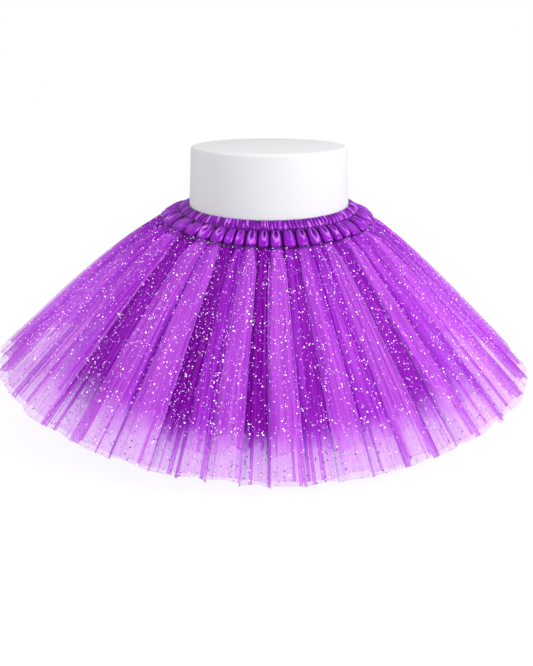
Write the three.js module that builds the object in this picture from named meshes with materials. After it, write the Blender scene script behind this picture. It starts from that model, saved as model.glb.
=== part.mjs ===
// A child's tulle skirt gathered on an elastic waistband, shown on a round display block.
// Millimetres, +Z up. The origin is the centre of the block's base, -Y is the front, +X the right.
// Azimuths run anticlockwise from +X, so the front is at 270 degrees.
import * as THREE from 'three';

// Display block: a smooth round block that widens a little towards its base
const BLOCK_HEIGHT = 279;
const BLOCK_TOP_RADIUS = 80;
const BLOCK_TAPER = 0.046;
const BLOCK_SIDES = 64;
const TOP_RIM = 3;
const TOP_RIM_ROUND = 0.3;
const BASE_RIM = 1.5;

// The skirt's lie: distances run down the cloth from the band's top edge
const BAND_DROP = { right: 57.8, left: 57.8, front: 62.8, back: 54.3 };
const BAND_LENGTH = 30;
const SKIRT_LENGTH = 257;
const FLARE_FALL = 70;
const WALK_STEP = 3;
const FLARE_DEGREES = {
  band: { right: 55.5, left: 63.0, front: 42.3, back: 46.4 },
  hem: { right: 44.5, left: 46.8, front: 38.1, back: 33.7 },
};

// Cloth and seams
const SEAM_GAP = 0.3;
const NET_WALL = 1.6;
const NET_TOP = 27;

// Elastic casing: a slanted flat tunnel of gathered satin, its inside plain
const CASING_LENGTH = 10.5;
const CASING_WALL = 3.2;
const CASING_FOLD = 1.6;
const CASING_INSIDE_TOP = 0.6;
const CASING_RIBS = 84;
const RIB_HEIGHT = 0.9;
const CASING_ROWS = [
  { down: 0, out: -0.3, rib: 1 },
  { down: 3, out: 0.4, rib: 1 },
  { down: 7.5, out: 0.4, rib: 1 },
  { down: CASING_LENGTH, out: -0.5, rib: 0.5 },
];

// Satin puffs below the casing, one for each gather
const PUFF_INSIDE = 2.4;
const PUFF_ROWS = [
  { down: 10.8, ridge: 0.8, middle: -0.3, gap: -0.5 },
  { down: 15.5, ridge: 2.0, middle: 0.8, gap: -1.0 },
  { down: 22, ridge: 2.3, middle: 2.9, gap: -1.2 },
  { down: 28.5, ridge: 1.6, middle: 2.3, gap: -1.2 },
  { down: BAND_LENGTH, ridge: 0, middle: 0.5, gap: -1.4 },
];
const RIDGE_PLACE = 0.25;

// Gathers across the front: the crest's place in degrees from the front, right positive,
// and how far the net below it stands out, from 0 to 1
const FRONT_GATHERS = [
  { at: -72, lift: 0.7 },
  { at: -57, lift: 0.8 },
  { at: -46, lift: 0.3 },
  { at: -38.3, lift: 1.0 },
  { at: -28.5, lift: 1.0 },
  { at: -21.8, lift: 0.2 },
  { at: -16.6, lift: 0.6 },
  { at: -9.7, lift: 1.0 },
  { at: -2.9, lift: 0.2 },
  { at: 3.4, lift: 1.0 },
  { at: 11.3, lift: 0.4 },
  { at: 18.3, lift: 0.9 },
  { at: 25.9, lift: 0.6 },
  { at: 33.4, lift: 1.0 },
  { at: 40, lift: 0.3 },
  { at: 46.4, lift: 0.9 },
  { at: 52, lift: 0.5 },
  { at: 65, lift: 0.9 },
  { at: 75, lift: 0.7 },
];
const GATHER_COUNT = 42;
const HIDDEN_GATHERS = {
  sway: 1.4, swayTurn: 2.1, lift: 0.62, liftChange: 0.36, liftTurn: 2.6, liftStart: 0.5,
};
const SHOULDER_PLACE = 0.26;
const SHOULDER_SHARE = 0.55;
const SWELL_PER_WIDTH = 0.2;

// How far each layer's folds swell, and how far the top layer sinks under the satin, at each row
const NET_ROWS = [
  { down: NET_TOP, sink: 3.2, top: 0.5, second: 0.2, under: 0 },
  { down: 31, sink: 3.7, top: 1.0, second: 0.3, under: 0 },
  { down: 42, sink: 2.4, top: 2.4, second: 1.0, under: 0.4 },
  { down: 70, sink: 4.0, top: 4.0, second: 1.8, under: 0.9 },
  { down: 120, sink: 5.5, top: 5.5, second: 2.4, under: 1.3 },
  { down: 185, sink: 7.5, top: 7.5, second: 2.8, under: 1.7 },
  { down: SKIRT_LENGTH, sink: 9.0, top: 9.0, second: 3.2, under: 2.0 },
];
const LAYER_EASE = 0.5;
const EASE_FROM = 31;
const EASE_OVER = 11;
const LAYERS = {
  second: { shorter: 5, folds: 21 },
  under: { shorter: 33, folds: 11 },
  lining: { shorter: 43, columns: 40 },
};

const satin = { color: 0x8c22b8, roughness: 0.35, metalness: 0 };
const net = { color: 0xb446de, roughness: 0.8, metalness: 0 };
const plainNet = { color: 0xa22ece, roughness: 0.85, metalness: 0 };
const liningCloth = { color: 0x8a1ec0, roughness: 0.7, metalness: 0 };
const blockPaint = { color: 0xf4f4f6, roughness: 0.5, metalness: 0 };

function blockRadius(z) {
  return BLOCK_TOP_RADIUS + BLOCK_TAPER * (BLOCK_HEIGHT - z);
}

// A size that changes smoothly round the skirt from its right, left, front and back values
function around(side, azimuth) {
  const across = (side.right + side.left) / 2;
  const along = (side.front + side.back) / 2;
  const lean = (side.right - side.left) / 2;
  const nod = (side.back - side.front) / 2;
  const oval = (across - along) / 2;
  return (across + along) / 2 + lean * Math.cos(azimuth) + oval * Math.cos(2 * azimuth)
    + nod * Math.sin(azimuth);
}

// Slope of the cloth from the vertical, in radians: steep flare at the band, less at the hem
function flare(azimuth, down) {
  const atBand = around(FLARE_DEGREES.band, azimuth);
  const atHem = around(FLARE_DEGREES.hem, azimuth);
  const past = Math.max(down - BAND_LENGTH, 0);
  return THREE.MathUtils.degToRad(atHem + (atBand - atHem) * Math.exp(-past / FLARE_FALL));
}

// Radius and height of the band's top edge, so that the casing's fold lies just off the block
function bandStart(azimuth) {
  const slope = flare(azimuth, 0);
  const z = BLOCK_HEIGHT - around(BAND_DROP, azimuth);
  const fold = CASING_FOLD * (Math.sin(slope) + Math.cos(slope));
  return { r: blockRadius(z) + SEAM_GAP + fold, z };
}

// The point that lies so far down the cloth, and so far out from it
function onSkirt(azimuth, down, out) {
  let { r, z } = bandStart(azimuth);
  const steps = Math.max(1, Math.ceil(Math.abs(down) / WALK_STEP));
  const step = down / steps;
  for (let i = 0; i < steps; i += 1) {
    const slope = flare(azimuth, (i + 0.5) * step);
    r += step * Math.sin(slope);
    z -= step * Math.cos(slope);
  }
  const slope = flare(azimuth, down);
  r += out * Math.cos(slope);
  z += out * Math.sin(slope);
  return new THREE.Vector3(r * Math.cos(azimuth), r * Math.sin(azimuth), z);
}

// A closed ring from one closed loop of points for each column, in order round the skirt
function ring(loops) {
  const perLoop = loops[0].length;
  const positions = loops.flat().flatMap((p) => [p.x, p.y, p.z]);
  const faces = [];
  for (let i = 0; i < loops.length; i += 1) {
    const next = (i + 1) % loops.length;
    for (let j = 0; j < perLoop; j += 1) {
      const up = (j + 1) % perLoop;
      const a = i * perLoop + j;
      const b = next * perLoop + j;
      const c = next * perLoop + up;
      const d = i * perLoop + up;
      faces.push(a, d, c, a, c, b);
    }
  }
  const geometry = new THREE.BufferGeometry();
  geometry.setAttribute('position', new THREE.Float32BufferAttribute(positions, 3));
  geometry.setIndex(faces);
  geometry.computeVertexNormals();
  return geometry;
}

function radians(degreesFromFront) {
  return THREE.MathUtils.degToRad(degreesFromFront + 270);
}

// All the gathers round the waist: the front ones as listed, the hidden ones evenly uneven
function allGathers() {
  const gathers = FRONT_GATHERS.map((g) => ({ ...g }));
  const hidden = GATHER_COUNT - FRONT_GATHERS.length;
  const first = FRONT_GATHERS[0].at + 360;
  const last = FRONT_GATHERS[FRONT_GATHERS.length - 1].at;
  const pitch = (first - last) / (hidden + 1);
  const { sway, swayTurn, lift, liftChange, liftTurn, liftStart } = HIDDEN_GATHERS;
  for (let k = 1; k <= hidden; k += 1) {
    gathers.push({
      at: last + pitch * k + sway * Math.sin(swayTurn * k),
      lift: lift + liftChange * Math.sin(liftTurn * k + liftStart),
    });
  }
  gathers.forEach((gather, i) => {
    const before = i > 0 ? gathers[i - 1].at : gathers[gathers.length - 1].at - 360;
    const after = i < gathers.length - 1 ? gathers[i + 1].at : gathers[0].at + 360;
    gather.from = (before + gather.at) / 2;
    gather.to = (gather.at + after) / 2;
  });
  return gathers;
}

const gathers = allGathers();

// Linear value of a named column of the net's rows
function rowValue(column, down) {
  const last = NET_ROWS.length - 1;
  for (let i = 1; i <= last; i += 1) {
    if (down <= NET_ROWS[i].down || i === last) {
      const above = NET_ROWS[i - 1];
      const below = NET_ROWS[i];
      const share = (down - above.down) / (below.down - above.down);
      return above[column] + (below[column] - above[column]) * share;
    }
  }
  return 0;
}

// Depth of each layer's middle below the skirt's outline: under the folds of the layer above it
function layerSink(layer, down) {
  const ease = LAYER_EASE * THREE.MathUtils.clamp((down - EASE_FROM) / EASE_OVER, 0, 1);
  const clear = NET_WALL + SEAM_GAP + ease;
  let sink = rowValue('sink', down);
  if (layer === 'top') {
    return sink;
  }
  sink += rowValue('top', down) + clear + rowValue('second', down);
  if (layer === 'second') {
    return sink;
  }
  sink += rowValue('second', down) + clear + rowValue('under', down);
  if (layer === 'under') {
    return sink;
  }
  return sink + rowValue('under', down) + clear;
}

// A net or lining wall: columns give the azimuth and the height of the fold there, at each row
function netWall(layer, shorter, columns) {
  const rows = NET_ROWS.map((row) => Math.min(row.down, SKIRT_LENGTH - shorter));
  return ring(columns.map(({ azimuth, height }) => {
    const place = (down, extra) => {
      const out = height(down) - layerSink(layer, down) - extra;
      return onSkirt(azimuth, down, out);
    };
    const outer = rows.map((down) => place(down, 0));
    const inner = rows.map((down) => place(down, NET_WALL)).reverse();
    return [...outer, ...inner];
  }));
}

// The swell of one gather's fold: narrow gathers swell less, so that no fold is too steep
function gatherSwell(gather, down) {
  const azimuth = radians(gather.at);
  const here = onSkirt(azimuth, down, 0);
  const width = THREE.MathUtils.degToRad(gather.to - gather.from) * Math.hypot(here.x, here.y);
  return Math.min(rowValue('top', down), SWELL_PER_WIDTH * width);
}

// Four columns to a gather: the crease beside it, a shoulder, the crest and the other shoulder
function topColumns() {
  return gathers.flatMap((gather, i) => {
    const before = gathers[(i + gathers.length - 1) % gathers.length];
    const width = gather.to - gather.from;
    const swell = (down) => gatherSwell(gather, down);
    const crease = (down) => -Math.min(swell(down), gatherSwell(before, down));
    const shoulder = (down) => swell(down) * SHOULDER_SHARE * gather.lift;
    return [
      { azimuth: radians(gather.from), height: crease },
      { azimuth: radians(gather.from + SHOULDER_PLACE * width), height: shoulder },
      { azimuth: radians(gather.at), height: (down) => swell(down) * gather.lift },
      { azimuth: radians(gather.to - SHOULDER_PLACE * width), height: shoulder },
    ];
  });
}

// Even soft folds, four columns to a fold
function softColumns(layer, folds) {
  const count = folds * 4;
  return Array.from({ length: count }, (unused, i) => {
    const turn = (i + 0.5) / count;
    const wave = Math.cos(turn * folds * 2 * Math.PI);
    return {
      azimuth: turn * 2 * Math.PI,
      height: (down) => Math.SQRT2 * wave * rowValue(layer, down),
    };
  });
}

function smoothColumns(count) {
  return Array.from({ length: count }, (unused, i) => (
    { azimuth: ((i + 0.5) / count) * 2 * Math.PI, height: () => 0 }
  ));
}

// The casing's section: over the fold at its top, down its ribbed outside, and back up inside
function casing() {
  const count = CASING_RIBS * 2;
  return ring(Array.from({ length: count }, (unused, i) => {
    const azimuth = (i / count) * 2 * Math.PI;
    const height = i % 2 === 0 ? RIB_HEIGHT : 0;
    return [
      onSkirt(azimuth, -CASING_FOLD, -CASING_FOLD),
      ...CASING_ROWS.map((row) => onSkirt(azimuth, row.down, row.out + height * row.rib)),
      onSkirt(azimuth, CASING_LENGTH, -CASING_WALL),
      onSkirt(azimuth, CASING_INSIDE_TOP, -CASING_WALL),
    ];
  }));
}

// Four columns to a puff: the gap beside it, a ridge, its dimpled middle and the other ridge
function puffs() {
  const loops = [];
  for (const gather of gathers) {
    const width = gather.to - gather.from;
    const columns = [
      { at: gather.from, part: 'gap' },
      { at: gather.from + RIDGE_PLACE * width, part: 'ridge' },
      { at: gather.at, part: 'middle' },
      { at: gather.to - RIDGE_PLACE * width, part: 'ridge' },
    ];
    for (const { at, part } of columns) {
      const azimuth = radians(at);
      const outer = PUFF_ROWS.map((row) => onSkirt(azimuth, row.down, row[part]));
      const top = onSkirt(azimuth, PUFF_ROWS[0].down, -PUFF_INSIDE);
      const bottom = onSkirt(azimuth, BAND_LENGTH, -PUFF_INSIDE);
      loops.push([...outer, bottom, top]);
    }
  }
  return ring(loops);
}

function block() {
  const base = blockRadius(0);
  const outline = [
    [0, 0],
    [base - BASE_RIM, 0],
    [blockRadius(BASE_RIM), BASE_RIM],
    [blockRadius(BLOCK_HEIGHT - TOP_RIM), BLOCK_HEIGHT - TOP_RIM],
    [BLOCK_TOP_RADIUS - TOP_RIM * TOP_RIM_ROUND, BLOCK_HEIGHT - TOP_RIM * TOP_RIM_ROUND],
    [BLOCK_TOP_RADIUS - TOP_RIM, BLOCK_HEIGHT],
    [0, BLOCK_HEIGHT],
  ];
  const lathe = new THREE.LatheGeometry(outline.map(([r, z]) => new THREE.Vector2(r, z)), BLOCK_SIDES);
  return lathe.rotateX(Math.PI / 2);
}

const skirt = new THREE.Group();

function add(name, geometry, finish) {
  const mesh = new THREE.Mesh(geometry, new THREE.MeshStandardMaterial(finish));
  mesh.name = name;
  skirt.add(mesh);
}

add('display_block', block(), blockPaint);
add('waistband_casing', casing(), satin);
add('waistband_puffs', puffs(), satin);
add('tulle_top', netWall('top', 0, topColumns()), net);
const { second, under, lining } = LAYERS;
add('tulle_second', netWall('second', second.shorter, softColumns('second', second.folds)), net);
add('tulle_under', netWall('under', under.shorter, softColumns('under', under.folds)), plainNet);
add('lining', netWall('lining', lining.shorter, smoothColumns(lining.columns)), liningCloth);

export default skirt;
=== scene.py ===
import math

import bpy
import numpy as np
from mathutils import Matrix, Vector


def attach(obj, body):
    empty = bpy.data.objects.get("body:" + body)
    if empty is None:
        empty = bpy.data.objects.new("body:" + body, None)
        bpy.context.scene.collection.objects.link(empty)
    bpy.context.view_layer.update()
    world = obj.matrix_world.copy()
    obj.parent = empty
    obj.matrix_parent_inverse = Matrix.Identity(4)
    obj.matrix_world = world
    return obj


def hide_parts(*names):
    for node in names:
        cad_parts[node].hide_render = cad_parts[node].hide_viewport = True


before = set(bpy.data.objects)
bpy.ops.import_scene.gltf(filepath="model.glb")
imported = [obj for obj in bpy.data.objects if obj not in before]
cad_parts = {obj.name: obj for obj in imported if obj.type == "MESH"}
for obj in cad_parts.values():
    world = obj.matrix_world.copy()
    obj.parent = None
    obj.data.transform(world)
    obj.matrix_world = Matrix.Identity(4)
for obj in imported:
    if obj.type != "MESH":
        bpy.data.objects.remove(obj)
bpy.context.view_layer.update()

# A child's tulle skirt on a round white display block. Sizes are in millimetres and are turned
# into metres where a mesh is made. Azimuths run anticlockwise from +X; the front is at 270.
MM = 0.001

BLOCK_HEIGHT = 279.0
BLOCK_TOP_RADIUS = 80.0
BLOCK_TAPER = 0.046
BLOCK_SIDES = 160
RIM_ROUND = 3.0
RIM_STEPS = 6
RIM_ANGLE_DEGREES = 50
SMOOTH_ANGLE_DEGREES = 20

# The skirt's lie, measured down the cloth from the band's top edge
BAND_DROP = {"right": 57.8, "left": 57.8, "front": 62.8, "back": 54.3}
BAND_LENGTH = 30.0
SKIRT_LENGTH = 257.0
FLARE_FALL = 70.0
FLARE_DEGREES = {
    "band": {"right": 55.5, "left": 63.0, "front": 42.3, "back": 46.4},
    "hem": {"right": 44.5, "left": 46.8, "front": 38.1, "back": 33.7},
}
SEAM_GAP = 0.3
NET_WALL = 1.6
NET_TOP = 27.0
CASING_FOLD = 1.6
CASING_WALL = 3.2
STITCH_DOWN = 10.65
PUFF_INSIDE = 2.4

# Gathers across the front: crest in degrees from the front, and how far the net stands out
FRONT_GATHERS = [
    (-72, 0.7), (-57, 0.8), (-46, 0.3), (-38.3, 1.0), (-28.5, 1.0), (-21.8, 0.2), (-16.6, 0.6),
    (-9.7, 1.0), (-2.9, 0.2), (3.4, 1.0), (11.3, 0.4), (18.3, 0.9), (25.9, 0.6), (33.4, 1.0),
    (40, 0.3), (46.4, 0.9), (52, 0.5), (65, 0.9), (75, 0.7),
]
GATHER_COUNT = 42

# Hidden gathers: how many degrees each strays, its mean lift and how much that changes
HIDDEN_STRAY = 1.4
HIDDEN_LIFT = 0.62
HIDDEN_LIFT_CHANGE = 0.36

# Rows of the net: how far the top layer sinks under the satin and how far each layer swells
NET_ROWS = {
    "down": [NET_TOP, 31, 42, 70, 120, 185, SKIRT_LENGTH],
    "sink": [3.2, 3.7, 2.4, 4.0, 5.5, 7.5, 9.0],
    "top": [0.5, 1.0, 2.4, 4.0, 5.5, 7.5, 9.0],
    "second": [0.2, 0.3, 1.0, 1.8, 2.4, 2.8, 3.2],
    "under": [0, 0, 0.4, 0.9, 1.3, 1.7, 2.0],
}
LAYER_EASE = 0.5
EASE_FROM = 31
EASE_OVER = 11
SWELL_PER_WIDTH = 0.2

# A flute's section: how full its valleys are, how round its top is, how far it leans over its
# neighbours once it has opened out below the satin, and how wide its lit edge is, a painted
# highlight; then the painted shade in its valleys and the least painted light on a flute's top
VALLEY_FILL = 0.55
TOP_ROUNDNESS = 0.6
OPEN_FROM = 24
OPEN_TO = 60
LEAN = 0.13
LEAN_OVER_LOWER = 0.17
EDGE_WIDTH = 0.05
EDGE_LEAN_FROM = 0.13
EDGE_LEAN_TO = 0.18
VALLEY_PAINTED_SHADE = 0.2
LEAST_TOP_TONE = 0.15

# The skirt's sides are seen through fewer folds: sheerer and lighter; painted light also makes the
# net lighter towards the key lamp on the right and darker on the left
SHEER_SIDES = 0.8
SHEER_COSINE_FROM = 0.8
SHEER_COSINE_TO = 0.98
SHEER_DOWN_FROM = 40
SHEER_DOWN_TO = 150
LIGHTER_SIDES = 0.13
PAINTED_LIGHT_RIGHT = 0.1

# Camera, fitted to the block's rim and the hem's outline in the photo's 533 x 666 frame
PHOTO_HEIGHT_PX = 666
FOCAL_PX = 961.8
CAMERA_PLACE = (-0.0025, -1.0, BLOCK_HEIGHT * MM + 0.1016)
CAMERA_PITCH_DEGREES = 16.83
SENSOR_MM = 36

# Studio: what the floor and the world give out where they are seen and as light, in turn
FLOOR_GLOW_SEEN = 0.88
FLOOR_GLOW_HIDDEN = 0.45
WORLD_GLOW_SEEN = 1.0
WORLD_GLOW_HIDDEN = 0.58
LAMPS = [
    {"name": "key", "place": (1.25, -0.8, 1.25), "size": 0.6, "power": 21},
    {"name": "fill", "place": (-1.3, -0.9, 0.8), "size": 1.0, "power": 5},
]
LAMP_TARGET = (0, 0, 0.15)

# The floor in metres: where it starts, where it curves up into the wall, and its size
FLOOR_FRONT = -4.0
CURVE_START = 3.0
CURVE_RADIUS = 1.0
CURVE_STEPS = 12
FLOOR_HALF_WIDTH = 6.0
WALL_TOP = 5.0


def block_radius(z):
    return BLOCK_TOP_RADIUS + BLOCK_TAPER * (BLOCK_HEIGHT - z)


def around(side, azimuth):
    across = (side["right"] + side["left"]) / 2
    along = (side["front"] + side["back"]) / 2
    lean = (side["right"] - side["left"]) / 2
    nod = (side["back"] - side["front"]) / 2
    oval = (across - along) / 2
    mean = (across + along) / 2
    return mean + lean * np.cos(azimuth) + oval * np.cos(2 * azimuth) + nod * np.sin(azimuth)


def flare(azimuth, down):
    at_band = around(FLARE_DEGREES["band"], azimuth)
    at_hem = around(FLARE_DEGREES["hem"], azimuth)
    past = np.maximum(down - BAND_LENGTH, 0)
    return np.radians(at_hem + (at_band - at_hem) * np.exp(-past / FLARE_FALL))


# The skirt's outline, walked down once for every whole degree and millimetre
GRID_FIRST = -8
GRID_LAST = 280
GRID_DOWNS = np.arange(GRID_FIRST, GRID_LAST, 1.0)
GRID_AZIMUTHS = np.radians(np.arange(0, 361, 1.0))


def walk_outline():
    azimuth = GRID_AZIMUTHS[:, None]
    middles = (GRID_DOWNS[1:] + GRID_DOWNS[:-1])[None, :] / 2
    slope = flare(azimuth, middles)
    start = np.zeros((len(GRID_AZIMUTHS), 1))
    r = np.concatenate([start, np.cumsum(np.sin(slope), axis=1)], axis=1)
    z = np.concatenate([start, -np.cumsum(np.cos(slope), axis=1)], axis=1)
    r -= r[:, -GRID_FIRST:-GRID_FIRST + 1]
    z -= z[:, -GRID_FIRST:-GRID_FIRST + 1]
    top = flare(azimuth, 0.0)
    height = BLOCK_HEIGHT - around(BAND_DROP, azimuth)
    fold = CASING_FOLD * (np.sin(top) + np.cos(top))
    return r + block_radius(height) + SEAM_GAP + fold, z + height


GRID_R, GRID_Z = walk_outline()


def on_skirt(azimuth, down, out):
    """Points so far down the cloth and so far out from it, in millimetres."""
    azimuth, down, out = np.broadcast_arrays(azimuth, down, out)
    turn = np.degrees(azimuth) % 360
    i = np.minimum(turn.astype(int), 359)
    j = np.clip((down - GRID_FIRST).astype(int), 0, len(GRID_DOWNS) - 2)
    a = turn - i
    d = down - GRID_FIRST - j

    def blend(grid):
        near = grid[i, j] * (1 - d) + grid[i, j + 1] * d
        far = grid[i + 1, j] * (1 - d) + grid[i + 1, j + 1] * d
        return near * (1 - a) + far * a

    slope = flare(azimuth, down)
    r = blend(GRID_R) + out * np.cos(slope)
    z = blend(GRID_Z) + out * np.sin(slope)
    return np.stack([r * np.cos(azimuth), r * np.sin(azimuth), z], axis=-1)


def row_value(column, down):
    return np.interp(down, NET_ROWS["down"], NET_ROWS[column])


def layer_sink(layer, down):
    ease = LAYER_EASE * np.clip((down - EASE_FROM) / EASE_OVER, 0, 1)
    clear = NET_WALL + SEAM_GAP + ease
    sink = row_value("sink", down)
    if layer == "top":
        return sink
    sink = sink + row_value("top", down) + clear + row_value("second", down)
    if layer == "second":
        return sink
    sink = sink + row_value("second", down) + clear + row_value("under", down)
    if layer == "under":
        return sink
    return sink + row_value("under", down) + clear


def smooth_step(low, high, value):
    t = np.clip((value - low) / (high - low), 0, 1)
    return t * t * (3 - 2 * t)


class Gathers:
    """The gathers round the waist: the front ones as seen, the hidden ones evenly uneven."""

    def __init__(self):
        at = [g[0] for g in FRONT_GATHERS]
        lift = [g[1] for g in FRONT_GATHERS]
        hidden = GATHER_COUNT - len(at)
        last = at[-1]
        pitch = (at[0] + 360 - last) / (hidden + 1)
        for k in range(1, hidden + 1):
            at.append(last + pitch * k + HIDDEN_STRAY * math.sin(2.1 * k))
            lift.append(HIDDEN_LIFT + HIDDEN_LIFT_CHANGE * math.sin(2.6 * k + 0.5))
        self.at = np.array(at)
        self.lift = np.array(lift)
        before = np.roll(self.at, 1)
        before[0] -= 360
        after = np.roll(self.at, -1)
        after[-1] += 360
        self.start = (before + self.at) / 2
        self.end = (self.at + after) / 2
        self.width = self.end - self.start

    def place(self, degrees):
        """Which gather a place belongs to, and how far across it, from 0 to 1."""
        turn = (degrees - self.start[0]) % 360 + self.start[0]
        index = np.clip(np.searchsorted(self.start, turn, side="right") - 1, 0, GATHER_COUNT - 1)
        across = (turn - self.start[index]) / self.width[index]
        return index, np.clip(across, 0, 1)


GATHERS = Gathers()


def front_degrees(azimuth):
    return np.degrees(azimuth) - 270


def fold_swell(index, down):
    """Half the depth of a gather's flute: narrow gathers swell less."""
    middle = np.radians(GATHERS.at[index] + 270)
    here = on_skirt(middle, down, 0.0)
    width = np.radians(GATHERS.width[index]) * np.hypot(here[..., 0], here[..., 1])
    return np.minimum(row_value("top", down), SWELL_PER_WIDTH * width)


def flute(azimuth, down, depth, waist):
    """Where a place on the cloth goes in the large flutes: its azimuth, height, tone and edge.

    A full gather swells over the whole of its place and leans over a lower one beside it. The tone
    is painted shade in the valleys and painted light on the tops of the fuller flutes; the edge is
    a painted highlight where a flute leans over.
    """
    index, across = GATHERS.place(front_degrees(azimuth))
    q = across - 0.5
    beside = (index + np.where(q < 0, -1, 1)) % GATHER_COUNT
    lift = GATHERS.lift[index]
    lower = np.minimum(lift, GATHERS.lift[beside])
    swell = fold_swell(index, down)
    least = np.minimum(swell, fold_swell(beside, down))
    valley = -least * (1 - VALLEY_FILL * lower)
    shape = np.maximum(np.cos(np.pi * q), 0) ** TOP_ROUNDNESS
    height = depth * (valley + (swell * lift - valley) * shape)
    open_out = smooth_step(OPEN_FROM, OPEN_TO, down)
    higher = np.maximum(lift - GATHERS.lift[beside], 0)
    over = waist * (LEAN + LEAN_OVER_LOWER * higher) * open_out
    moved = GATHERS.width[index] * over * np.sin(2 * np.pi * q)
    turn_back = np.arccos(np.clip(-1 / (2 * np.pi * np.maximum(over, 0.01)), -1, 1)) / (2 * np.pi)
    # The edge carries a painted highlight, and denser net, where a flute leans over its neighbour
    edge = np.exp(-((np.abs(q) - turn_back) / EDGE_WIDTH) ** 2)
    edge = edge * smooth_step(EDGE_LEAN_FROM, EDGE_LEAN_TO, over)
    # Tone: painted shade in the valleys, painted light on the tops of the fuller flutes
    painted_valley_shade = VALLEY_PAINTED_SHADE * lower
    painted_top_light = LEAST_TOP_TONE + (1 - LEAST_TOP_TONE) * lift
    tone = painted_valley_shade + (painted_top_light - painted_valley_shade) * shape
    return azimuth + np.radians(moved), height, tone, edge


# Half the step, in radians, over which a flute's slope is taken
SLOPE_STEP = 0.002


def flute_frame(azimuth, down, depth, waist):
    """A flute's place in millimetres round and out, its direction, its tone of painted light and
    shade, and its edge of painted highlight.
    """
    radius = np.hypot(*np.moveaxis(on_skirt(azimuth, down, 0.0), -1, 0)[:2])
    turn, height, tone, edge = flute(azimuth, down, depth, waist)
    turn_a, height_a, _, _ = flute(azimuth - SLOPE_STEP, down, depth, waist)
    turn_b, height_b, _, _ = flute(azimuth + SLOPE_STEP, down, depth, waist)
    along = np.stack([radius * (turn_b - turn_a), height_b - height_a], axis=-1)
    along /= np.maximum(np.linalg.norm(along, axis=-1, keepdims=True), 1e-6)
    return radius, turn, height, along, tone, edge


# A sharp pleat across its width: place as a share of the fold, how far it lies over, the side
# step beside a crease in millimetres, its height and the crease's strength
PLEAT_POINTS = [
    {"along": -0.42, "over": 0, "step": 0, "lift": 0.2, "crease": 0},
    {"along": -0.18, "over": 0, "step": 0, "lift": 0.7, "crease": 0},
    {"along": 0, "over": 1, "step": -0.7, "lift": 1.0, "crease": 0.15},
    {"along": 0, "over": 1, "step": 0, "lift": 0.9, "crease": 1},
    {"along": 0, "over": 1, "step": -0.7, "lift": 0.35, "crease": 0.15},
    {"along": 0, "over": -1, "step": 0.7, "lift": -0.35, "crease": 0.15},
    {"along": 0, "over": -1, "step": 0, "lift": -0.9, "crease": 1},
    {"along": 0, "over": -1, "step": 0.7, "lift": -1.0, "crease": 0.15},
    {"along": 0.18, "over": 0, "step": 0, "lift": -0.7, "crease": 0},
    {"along": 0.42, "over": 0, "step": 0, "lift": -0.2, "crease": 0},
]


class FineFolds:
    """Narrow folds round a sheet: sharp pleats that lie over themselves, and soft ridges."""

    def __init__(self, seed, count, pleat_share, height, overlap):
        rng = np.random.default_rng(seed)
        samples = len(PLEAT_POINTS)
        widths = rng.uniform(0.45, 1.55, count)
        widths *= 2 * math.pi / widths.sum()
        starts = np.concatenate([[0], np.cumsum(widths)[:-1]])
        share = rng.random(count)
        pleat = rng.random(count) < pleat_share
        self.count = count
        self.fold = np.repeat(np.arange(count), samples)
        self.side = rng.choice([-1, 1], count)[self.fold]
        column = {key: np.tile([point[key] for point in PLEAT_POINTS], count)
                  for key in PLEAT_POINTS[0]}
        flip = self.side < 0
        mirror = np.arange(count * samples).reshape(count, samples)[:, ::-1].ravel()
        for key, sign in (("along", -1), ("over", -1), ("step", -1), ("lift", 1), ("crease", 1)):
            column[key] = np.where(flip, sign * column[key][mirror], column[key])
        self.column = column
        self.soft_place = np.tile((np.arange(samples) + 0.5) / samples - 0.5, count)
        self.pleat = pleat[self.fold]
        self.width = widths[self.fold]
        self.middle = (starts + widths / 2)[self.fold]
        self.over_low = (overlap * (0.15 + 0.85 * share ** 1.5))[self.fold]
        self.over_top = rng.uniform(0.8, 1.6, count)[self.fold]
        self.height_low = (0.35 + 0.5 * share)[self.fold]
        self.ridge = (height * (0.1 + 0.9 * rng.random(count) ** 2))[self.fold]
        self.ridge *= rng.choice([1, 1, -0.7], count)[self.fold]
        self.fade = rng.uniform(55, 120, count)[self.fold]
        ends = np.where(rng.random(count) < 0.3, rng.uniform(90, 235, count), 900)
        self.end = np.where(share > 0.6, 900, ends)[self.fold]
        self.lean = rng.normal(0, 0.005, count)
        self.rng = rng

    def base(self, down):
        """Azimuth of every column before its fold is made."""
        place = np.where(self.pleat, self.column["along"], self.soft_place)
        azimuth = self.middle + self.width * place
        following = np.roll(self.lean, -1)
        share = place + 0.5
        lean = self.lean[self.fold] * (1 - share) + following[self.fold] * share
        return azimuth + lean * smooth_step(40, 240, down)

    def offsets(self, down):
        """How far each column lies aside and out from its place, and its crease."""
        top = 1 - smooth_step(32, self.fade, down)
        alive = 1 - smooth_step(self.end - 50, self.end + 5, down)
        over = self.over_top * top + self.over_low * (1 - top) * alive
        step = self.column["step"] * np.clip(over, 0, 1)
        aside = np.where(self.pleat, self.column["over"] * over + step, 0)
        height = 0.8 * top + self.height_low * (1 - top)
        sharp = height * self.column["lift"] * np.clip(over / 0.5, 0, 1)
        wave = 0.5 * np.cos(2 * np.pi * self.soft_place)
        soft = (1.9 * top + self.ridge * (1 - top)) * wave
        out = np.where(self.pleat, sharp, soft)
        line = np.exp(-(self.soft_place / 0.09) ** 2) * 0.35
        crease = np.where(self.pleat, self.column["crease"] * np.clip(over / 0.4, 0, 1), line)
        return aside, out, crease * (0.25 + 0.75 * (1 - top))

    def cut(self, depth):
        """How much longer or shorter the cloth is cut at each column."""
        steps = self.rng.normal(0, depth, self.count)
        following = np.roll(steps, -1)
        share = np.where(self.pleat, self.column["along"], self.soft_place) + 0.5
        return steps[self.fold] * (1 - share) + following[self.fold] * share


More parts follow.
